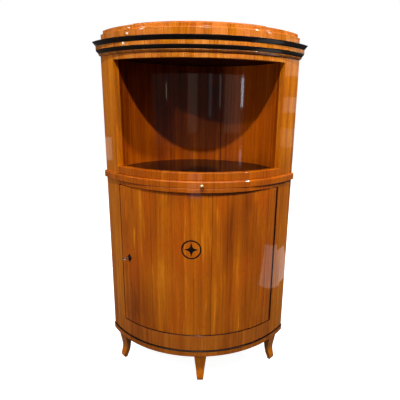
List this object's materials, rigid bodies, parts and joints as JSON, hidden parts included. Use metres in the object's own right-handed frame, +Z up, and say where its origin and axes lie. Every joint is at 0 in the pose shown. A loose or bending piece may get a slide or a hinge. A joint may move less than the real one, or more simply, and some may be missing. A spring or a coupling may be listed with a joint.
{
  "type": "corner cabinet",
  "caption": "Bow-fronted veneered corner cabinet with an open niche, a pull-out slide and a lockable curved door on sabre feet.",
  "frame": {"origin": "on the floor, under the middle of the bounding box", "axes": "+Z up; the bowed front faces -Y and the right angle of the back points along +Y; +X is to the right as seen from the front"},
  "size_m": [1.0066, 0.742, 1.7265],
  "materials": {
    "cherry_veneer": "French-polished cherry veneer",
    "inner_wood": "thinly polished",
    "ebonised_wood": "polished black stain",
    "brass": "polished",
    "steel": "old bright steel"
  },
  "bodies": {
    "carcass": {"base_bead": "ebonised_wood", "bottom_rail": "cherry_veneer", "cornice_bead": "cherry_veneer", "cornice_frieze": "cherry_veneer", "cornice_lower_black": "ebonised_wood", "cornice_upper_black": "ebonised_wood", "cupboard_bottom": "inner_wood", "door_stop": "inner_wood", "dust_board": "inner_wood", "foot_front": "cherry_veneer", "foot_left": "cherry_veneer", "foot_rear": "cherry_veneer", "foot_right": "cherry_veneer", "inner_shelf": "inner_wood", "left_back_wall": "inner_wood", "left_shelf_batten": "inner_wood", "left_slide_guide": "inner_wood", "left_slide_kicker": "inner_wood", "left_stile": "cherry_veneer", "left_waist_moulding": "cherry_veneer", "lower_pivot_plate": "brass", "lower_waist_rail": "cherry_veneer", "niche_back": "inner_wood", "niche_ceiling": "inner_wood", "niche_floor": "ebonised_wood", "plinth_board": "cherry_veneer", "plinth_edge": "cherry_veneer", "rear_post": "inner_wood", "right_back_wall": "inner_wood", "right_shelf_batten": "inner_wood", "right_slide_guide": "inner_wood", "right_slide_kicker": "inner_wood", "right_stile": "cherry_veneer", "right_waist_moulding": "cherry_veneer", "roof_board": "cherry_veneer", "slide_stop": "inner_wood", "strike_plate": "brass", "tier_lower": "cherry_veneer", "tier_middle": "cherry_veneer", "tier_top": "cherry_veneer", "top_rail": "cherry_veneer", "upper_pivot_plate": "brass", "upper_waist_rail": "cherry_veneer"},
    "door": {"door_panel": "cherry_veneer", "door_lower_bush": "brass", "door_upper_bush": "brass", "door_ring": "ebonised_wood", "door_star": "ebonised_wood", "escutcheon": "ebonised_wood", "lock_case": "steel"},
    "bolt": {"lock_bolt": "steel"},
    "key": {"key": "steel"},
    "slide": {"slide_board": "cherry_veneer", "slide_front": "cherry_veneer", "slide_cleat": "cherry_veneer", "slide_knob": "brass"}
  },
  "joints": [
    {"name": "door_swing", "type": "hinge", "parent": "carcass", "child": "door", "pos_m": [0.37285, -0.18085, 0.6345], "axis": [0, 0, 1], "range_deg": [0, 105]},
    {"name": "key_turn", "type": "hinge", "parent": "door", "child": "key", "pos_m": [-0.34658, -0.21562, 0.6345], "axis": [-0.6281, -0.7782, 0], "range_deg": [0, 180]},
    {"name": "bolt_throw", "type": "slide", "parent": "door", "child": "bolt", "axis": [-0.7782, 0.6281, 0], "range_m": [0, 0.009]},
    {"name": "slide_pull", "type": "slide", "parent": "carcass", "child": "slide", "axis": [0, -1, 0], "range_m": [0, 0.245]}
  ],
  "couplings": [
    {"joint": "key_turn", "follows": "bolt_throw", "rad_per_m": 349.06}
  ]
}
